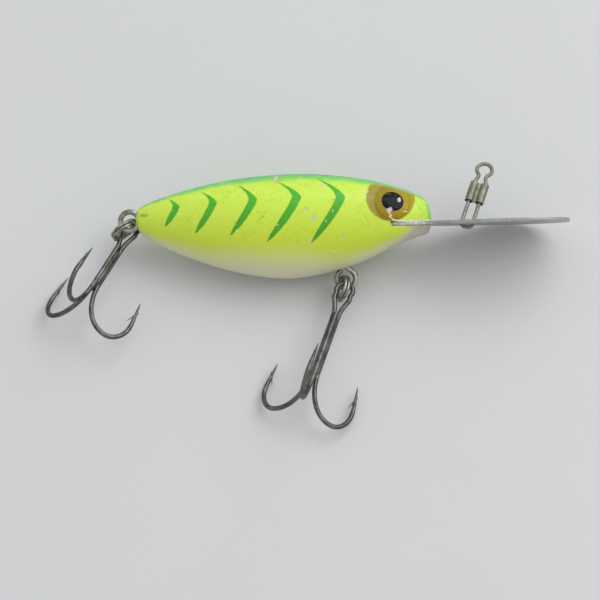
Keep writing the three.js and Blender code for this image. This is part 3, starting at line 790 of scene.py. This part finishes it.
def bar(x0, x1, y0, y1, z0, z1, material):
    rings = [[(x, y0, z0), (x, y1, z0), (x, y1, z1), (x, y0, z1)] for x in (x0, x1)]
    return loft("bar", np.array(rings, float), material)


def rod(radius, start, end, sides=48):
    return sweep("rod", (start, end), radius, PLASTIC, sides, dome=0.001)


def across(radius, x, y, start, end, sides=48):
    """A rod along z at (x, y)."""
    return rod(radius, (x, y, start), (x, y, end), sides)


def inner_room(name, side):
    """The inside of one half as a solid."""
    stations = [(x, 1.0) for x in np.linspace(*CAVITY, 60)]
    return loft(name, skin_rings(stations, WALL, -0.5, 60, side), PLASTIC)


def keel_cradle():
    """Ribs across the belly with a round bed for the keel weight."""
    slug_end = BALLAST["length"] / 2 + 0.3
    last_rib = slug_end + RIB["past_weight"]
    middle, low = BALLAST["x"], BALLAST["y"]
    ribs = [bar(x - RIB["half"], x + RIB["half"], RIB["low"], RIB["top"], -BEYOND, BEYOND, PLASTIC)
            for x in np.linspace(middle - last_rib, middle + last_rib, RIB["count"])]
    slug = rod(BALLAST["radius"] + 0.2, (middle - slug_end, low, 0), (middle + slug_end, low, 0))
    return combine(combine(ribs[0], ribs[1:], "UNION"), [slug], "DIFFERENCE")


def hollow(side):
    """What is cut out of a half: its inside, less the chamber walls, the bosses and the cradle."""
    standing = [across(CHAMBER["outer"], x, CHAMBER["y"], -side, REACH * side)
                for x in CHAMBER["stations"].values()]
    standing += [across(PEG["boss"], x, y, -side, REACH * side) for x, y in PEGS]
    low, high = ((BELLY_EYE[0], EYE_BOSS[end], 0) for end in ("low", "high"))
    standing += [rod(EYE_BOSS["radius"], low, high), keel_cradle()]
    return combine(inner_room("hollow", side), standing, "DIFFERENCE")


def chambers(side):
    """The rattle chambers' bores, which stop at the half's wall."""
    bores = [across(CHAMBER["bore"], x, CHAMBER["y"], -side, REACH * side)
             for x in CHAMBER["stations"].values()]
    return combine(combine(bores[0], bores[1:], "UNION"), [inner_room("room", side)], "INTERSECT")


def lip_slot():
    """The slot, a little wider and deeper than the tang and open to the front and both sides. Its faces
    take a near-black painted shade.
    """
    half, behind, reach = LIP["thickness"] / 2 + 0.13, 0.55, 20
    slot = bar(-behind, reach, -half, half, -reach, reach, SLOT_SHADE)
    slot.data.transform(move(LIP["start"], 0, 0) @ turn("Z", LIP["rise"]))
    return slot


def eye_bores():
    """A bore for each screw eye's shank, and a flat round pocket for the part of its loop inside."""
    shank, pocket, half = EYE_WIRE + 0.1, EYE_LOOP + EYE_WIRE + 0.35, 0.9
    belly_end, tail_end = (BELLY_EYE[0], -0.6, 0), (12, TAIL_EYE[1], 0)
    bores = [rod(shank, BELLY_EYE, belly_end), rod(shank, TAIL_EYE, tail_end)]
    return bores + [across(pocket, x, y, -half, half, 64) for x, y, _ in (BELLY_EYE, TAIL_EYE)]


def shell_half(side):
    """One hollow half; the left one has the locating pegs and the right one their holes."""
    stations_x = np.concatenate([np.arange(1.4, 58, 0.42), np.arange(58, BODY_LENGTH - 1.2, 0.22)])
    tail, nose = end_cap(0, 1.0, 1), end_cap(BODY_LENGTH, 1.1, -1)
    stations = tail + [(x, 1.0) for x in stations_x] + nose[::-1]
    name = "right" if side > 0 else "left"
    shell = loft(f"{name}_shell", skin_rings(stations, 0, SEAM_HALF_GAP, 120, side), PAINT)
    combine(shell, [hollow(side), chambers(side), lip_slot(), *eye_bores()], "DIFFERENCE")
    if side > 0:
        combine(shell, [across(PEG["hole"], x, y, -1, PEG["hole_depth"]) for x, y in PEGS], "DIFFERENCE")
    else:
        combine(shell, [across(PEG["radius"], x, y, PEG["length"], -1) for x, y in PEGS], "UNION")
    finish_piece(shell, LURE, "body", [f"body_{name}_half"])


for side in (1, -1):
    shell_half(side)

# -------- lip and glue


def lip_plate():
    """The paddle: a straight tang, shoulders that widen in an S, and a full round end."""
    length, wide, tang, widest = LIP["length"], LIP["half_width"], LIP["tang"], LIP["widest"]
    shoulder = [(LIP["tang_length"], tang, 0), (13, tang + 0.6, 0), (20, wide, 0), (widest, wide, 0)]
    end = [(widest, wide, 0), (widest + 10, wide, 0), (length, LIP["tip"], 0), (length, 0, 0)]
    edge = np.vstack([[(0, tang, 0)], bezier(shoulder, 40), bezier(end, 48)[1:]])[:, :2]
    outline = np.vstack([edge, edge[-2::-1] * (1, -1)])
    middle, leg = LINK["x"] - LIP["start"], LINK["leg"] / math.cos(LINK["forward"])
    holes = [arc((middle + s * leg, 0), LINK["hole"], 0, 360, 48)[:-1, :2] for s in (-1, 1)]
    plate = flat_plate("lip_plate", [outline, *holes], LIP["thickness"], LIP["edge"], LIP_METAL)
    plate.data.transform(turn("X", rad(90)))
    finish_piece(plate, LIP_AXES, "body", ["diving_lip"])


def skin_z(x, y):
    """How far out the flank's surface is at (x, y)."""
    high, low = back(x), belly(x)
    share = abs((y - (high + low) / 2) / ((high - low) / 2))
    return thickness(x) * (1 - share**FULLNESS) ** (1 / FULLNESS)


def glue_beads():
    """An uneven bead of glue where the lip leaves the head, above it on both flanks."""
    for side, name in ((1, "right_glue_bead"), (-1, "left_glue_bead")):
        x = np.linspace(67.0, 75.6, 90)
        y = np.tan(LIP["rise"]) * (x - LIP["start"]) + LIP["thickness"] / 2 + 0.12
        z = side * (skin_z(x, y) + 0.02)
        line = np.stack([x, y, z], 1)
        wave = 0.05 * np.sin(x * 3.1 + side) + 0.04 * np.sin(x * 7.3) + 0.03 * np.sin(x * 13.7 + side)
        fade = np.minimum(1, np.minimum(x - 66.9, 75.8 - x) / 0.8)
        bead = sweep(name, line, (0.24 + wave) * fade, GLUE, 14)
        finish_piece(bead, LURE, "body", [])


lip_plate()
glue_beads()

# -------- link


def link_wire():
    """One bent wire: under the lip, up both legs, through a throat into the loop, its ends meeting
    inside one barrel of the sleeve."""
    leg, neck, height = LINK["leg"], LINK["neck"], LINK["neck_height"]
    throat = np.array([(leg, LINK["leg_top"], 0), (neck + 0.2, height - 0.8, 0), (neck, height, 0),
                       (neck + 0.15, height + 0.7, 0)])
    other_side = throat[::-1] * (-1, 1, 1)
    loop = arc((0, LINK["loop_height"]), LINK["loop"], -20, 200, 8)
    upper = spline([*throat, *loop, *other_side], 10)
    under = arc((0, LINK["bottom"]), (leg, LINK["bottom_depth"]), 180, 360, 24)
    path = np.vstack([[(-leg, LINK["gap_low"], 0)], under, upper, [(-leg, LINK["gap_high"], 0)]])
    wire = sweep("link_wire", even(path, 0.22), LINK["wire"], LINK_METAL)
    finish_piece(wire, LINK_AXES, "link", ["snap_wire"])


def link_sleeve():
    """Two rolled barrels and the web between them, drawn in plan and stood up along the legs."""
    neck = math.degrees(math.asin(SLEEVE["web"] / 2 / SLEEVE["outer"]))
    right = arc((LINK["leg"], 0), SLEEVE["outer"], -180 + neck, 180 - neck, 44)[:, :2]
    outline = np.vstack([right, -right])
    bores = [arc((s * LINK["leg"], 0), SLEEVE["bore"], 0, 360, 40)[:-1, :2] for s in (-1, 1)]
    sleeve = flat_plate("link_sleeve", [outline, *bores], SLEEVE["length"], SLEEVE["edge"], LINK_METAL)
    sleeve.data.transform(move(0, SLEEVE["low"] + SLEEVE["length"] / 2, 0) @ turn("X", rad(-90)))
    finish_piece(sleeve, LINK_AXES, "sleeve", ["snap_sleeve"])


link_wire()
link_sleeve()

# -------- screw eyes and split rings


def screw_eye(name, at, angle):
    """A loop closed nearly all the way, a bent neck and a straight shank along y."""
    loop = arc((0, 0), EYE_LOOP, -238, 48, 60)
    neck = spline([loop[-1], (0.5, 2.75, 0), (0, 3.5, 0), (0, 4.6, 0), (0, 6, 0)], 8)[1:]
    path = even(np.vstack([loop, neck, [(0, EYE_SHANK, 0)]]), 0.25)
    eye = sweep(f"{name}_eye_wire", path, EYE_WIRE, NICKEL, 22)
    finish_piece(eye, LURE @ move(*at) @ turn("Z", angle), "body", [f"{name}_screw_eye"])


def split_ring(name):
    """Two turns of flattened wire round z, with one sloping strand where both ends stop short."""
    angle = np.linspace(RING["jog"], 4 * math.pi - RING["jog"], 300)
    slope = np.clip((angle - 2 * math.pi) / RING["jog"], -1, 1)
    path = np.stack([RING["radius"] * np.cos(angle), RING["radius"] * np.sin(angle),
                     RING["offset"] * np.sin(slope * math.pi / 2)], 1)
    section = circle(24)
    section = np.sign(section) * np.abs(section) ** RING["squareness"]
    section = section * (RING["width"] / 2, RING["height"] / 2)
    ring = sweep(f"{name}_ring_wire", path, 1.0, NICKEL, section=section, dome=0.05)
    finish_piece(ring, ring_axes(name), f"{name}_ring", [f"{name}_split_ring"], 50)


# -------- treble hooks

PAIR_ANGLES = (-30, 210)
THIRD_ANGLE = 90
NEEDLE = {"length": 7.5, "power": 0.62, "tip": 0.04}
BARB = [(11.0, 13.0), (9.4, 12.55), (7.3, 11.65)]  # back from the bend's outside, out from the axis
BRAZE = {"start": 10.2, "end": 9, "radius": 1.08}


def tine(offset):
    """One tine from its point to its shank: how far from the bend's outside, how far from the axis."""
    wide, spread, start = HOOK["bend_wide"], HOOK["spread"], HOOK["bend_start"]
    deep, tip = HOOK["point_depth"], HOOK["point_spread"]
    point = bezier([(deep, tip), (0.85 * deep, 0.8 * tip + 0.2 * spread), (0.6 * deep, spread),
                    (0.42 * deep, spread)], 30)
    outer = bezier([(0.42 * deep, spread), (0.2 * deep, spread), (0, 0.45 * wide + 0.55 * spread),
                    (0, wide)], 30)
    inner = bezier([(0, wide), (0, 0.45 * wide), (0.45 * start, offset), (start, offset)], 30)
    return np.vstack([point, outer[1:], inner[1:]])


def tine_line(length, angle, offset):
    depth, out = tine(offset).T
    x = length - HOOK["wire"] - depth
    return np.stack([x, out * math.cos(rad(angle)), out * math.sin(rad(angle))], 1)


def needle(path, both):
    """Wire radius along a path whose first point, and last if both, is a hook's point."""
    along = distances(path)
    near = np.minimum(along, along[-1] - along) if both else along
    share = np.minimum(near / NEEDLE["length"], 1) ** NEEDLE["power"]
    return HOOK["wire"] * np.minimum(1, NEEDLE["tip"] + (1 - NEEDLE["tip"]) * share)


def barb(length, angle):
    """A thin sliver raised from the inside of the wire behind the point."""
    line = spline([(length - depth, out, 0) for depth, out in BARB], 10)
    sliver = sweep("barb", line, np.linspace(0.4, 0.03, len(line)), HOOK_METAL, 12)
    sliver.data.transform(turn("X", rad(angle)))
    return sliver


def braze(length):
    """The metal that fills the middle of the shank."""
    start, end = BRAZE["start"], length - BRAZE["end"]
    x, full = np.linspace(start, end, 30), BRAZE["radius"]
    swell = np.interp(x, [start, start + 1.3, end - 2.5, end], [0.3, full, full, 0.25])
    return sweep("braze", np.stack([x, 0 * x, 0 * x], 1), swell, HOOK_METAL)


def hook_pair(name):
    """Two tines of one wire, whose two strands part above the shank and open into the eye."""
    length, shank, centre = HOOK_STATIONS[name]["length"], HOOK["shank"], HOOK["eye_centre"]
    side, low = shank * math.cos(rad(30)), -shank / 2
    neck = [(16, side, low), (11, side, low), (9, side + 0.05, low), (7, 1.3, 0.5 * low), (5, 1.98, 0)]
    mirrored = [(x, -y, z) for x, y, z in neck[::-1]]
    eye = spline([*neck, *arc((centre, 0), HOOK["eye"], 60, 300, 10), *mirrored], 10)
    first, last = (tine_line(length, angle, shank) for angle in PAIR_ANGLES)
    path = even(np.vstack([first, eye, last[::-1]]), 0.3)
    pair = sweep(f"{name}_treble_pair", path, needle(path, True), HOOK_METAL)
    combine(pair, [braze(length), *(barb(length, angle) for angle in PAIR_ANGLES)], "UNION")
    finish_piece(pair, hook_axes(name), f"{name}_hook", [f"{name}_hook_pair"], 50)


def hook_third(name):
    length, offset = HOOK_STATIONS[name]["length"], HOOK["third"]
    line = tine_line(length, THIRD_ANGLE, offset)
    path = even(np.vstack([line, [(HOOK["third_start"], 0, offset)]]), 0.3)
    third = sweep(f"{name}_treble_third", path, needle(path, False), HOOK_METAL)
    combine(third, [barb(length, THIRD_ANGLE)], "UNION")
    finish_piece(third, hook_axes(name), f"{name}_hook", [f"{name}_hook_single"], 50)


for name, at, angle in (("belly", BELLY_EYE, 0), ("tail", TAIL_EYE, rad(-90))):
    screw_eye(name, at, angle)
    split_ring(name)
    hook_pair(name)
    hook_third(name)

# -------- inside: keel weight and shot


def keel_weight():
    """A slug with its ends' edges rounded."""
    half, radius = BALLAST["length"] / 2, BALLAST["radius"]
    y, z = circle(64).T
    rings = []
    for share, scale in ((-1, 0.9), (-0.97, 0.97), (-0.93, 1), (0.93, 1), (0.97, 0.97), (1, 0.9)):
        x = 0 * y + BALLAST["x"] + share * half
        rings.append(np.stack([x, BALLAST["y"] + radius * scale * y, radius * scale * z], 1))
    finish_piece(loft("keel_weight", rings, LEAD), LURE, "body", ["ballast_weight"])


def shot():
    """The three balls, each at rest near the lower flank's end of its chamber."""
    around = np.pad(circle(64)[::-1], ((0, 0), (0, 1)))
    rings = [BALL_RADIUS * (math.sin(polar) * around + (0, 0, math.cos(polar)))
             for polar in np.linspace(rad(3), rad(177), 40)]
    for name, x in CHAMBER["stations"].items():
        rest = -(thickness(x) - WALL - BALL_RADIUS - 0.6)
        place = LURE @ move(x, CHAMBER["y"], rest)
        ball = loft(f"{name}_shot", rings, SHOT)
        finish_piece(ball, place, f"ball_{name}", [f"rattle_ball_{name}"])


keel_weight()
shot()

# -------- studio


def studio():
    """A pale floor, a broad soft light over the lure's back and head, and even fill."""
    half = 2500
    look = Look("floor_paper")
    tone = look.mix(look.noise(0.02, 3), srgb(203, 204, 205), srgb(208, 209, 210))
    look.set(Base_Color=tone, Roughness=0.7)
    corners = [(-half, -half, 0), (half, -half, 0), (half, half, 0), (-half, half, 0)]
    floor = mesh_object("floor", corners, [(0, 1, 2, 3)], look.material)
    floor.location.z = -0.0002

    scene.world = bpy.data.worlds.new("world")
    scene.world.use_nodes = True
    background = scene.world.node_tree.nodes["Background"]
    background.inputs["Color"].default_value = (0.97, 0.985, 1.0, 1)
    background.inputs["Strength"].default_value = 0.7

    data = bpy.data.lights.new("key", "AREA")
    data.shape = "RECTANGLE"
    data.size, data.size_y = 1.4, 1.0
    data.energy = 9.3
    light = into_scene("key", data)
    light.location = (0.65, 0.42, 1.05)
    light.rotation_euler = light.location.to_track_quat("Z", "Y").to_euler()


def camera():
    """The camera looks down at 65 degrees from in front, centred under the lure's belly."""
    elevation, distance, field = rad(65), 0.6, rad(14.65)
    direction = Vector((0, -math.cos(elevation), math.sin(elevation)))
    aim = LURE @ (Vector((42.4, -19.4, 0)) * MM)
    data = bpy.data.cameras.new("camera")
    data.sensor_width = 36
    data.lens = data.sensor_width / 2 / math.tan(field / 2)
    made = into_scene("camera", data)
    made.location = aim + direction * distance
    made.rotation_euler = direction.to_track_quat("Z", "Y").to_euler()
    scene.camera = made


studio()
camera()
scene.view_settings.view_transform = "Standard"
